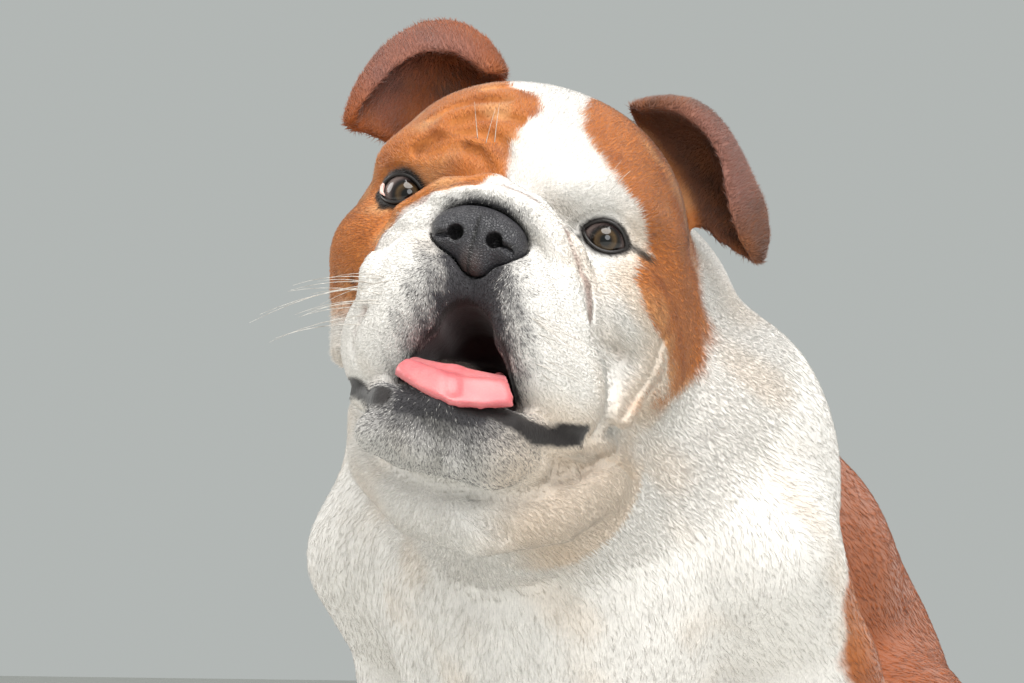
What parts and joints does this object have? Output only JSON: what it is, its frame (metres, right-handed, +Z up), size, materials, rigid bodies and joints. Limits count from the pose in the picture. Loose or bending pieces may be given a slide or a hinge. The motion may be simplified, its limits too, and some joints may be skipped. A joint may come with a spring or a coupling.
{
  "type": "english bulldog",
  "caption": "Life-size still model of an english bulldog sitting with its head raised, tilted and turned to its left, mouth open and tongue forward, ears folded back.",
  "frame": {"origin": "centre of the bounding box at floor height", "axes": "+Z up, the dog faces -Y, its left side is +X"},
  "size_m": [0.365, 0.579, 0.5467],
  "materials": {
    "white_coat": "short dense hair, white to cream",
    "red_coat": "short dense hair, red-brown to orange-tan",
    "ear_coat": "fine short hair over thin skin",
    "nose_skin": "moist pebbled skin",
    "tongue_skin": "wet",
    "eye": "wet gloss"
  },
  "bodies": {
    "root": {"head": "red_coat", "muzzle": "white_coat", "jaw": "white_coat", "nose": "nose_skin", "tongue": "tongue_skin", "eye_left": "eye", "eye_right": "eye", "ear_left": "ear_coat", "ear_right": "ear_coat", "neck": "white_coat", "chest": "white_coat", "hindquarters": "red_coat", "tail": "red_coat", "upper_foreleg_left": "white_coat", "upper_foreleg_right": "white_coat", "forearm_left": "white_coat", "forearm_right": "white_coat", "fore_paw_left": "white_coat", "fore_paw_right": "white_coat", "thigh_left": "red_coat", "thigh_right": "red_coat", "shank_left": "red_coat", "shank_right": "red_coat", "hock_left": "red_coat", "hock_right": "red_coat", "hind_paw_left": "white_coat", "hind_paw_right": "white_coat"}
  },
  "joints": []
}
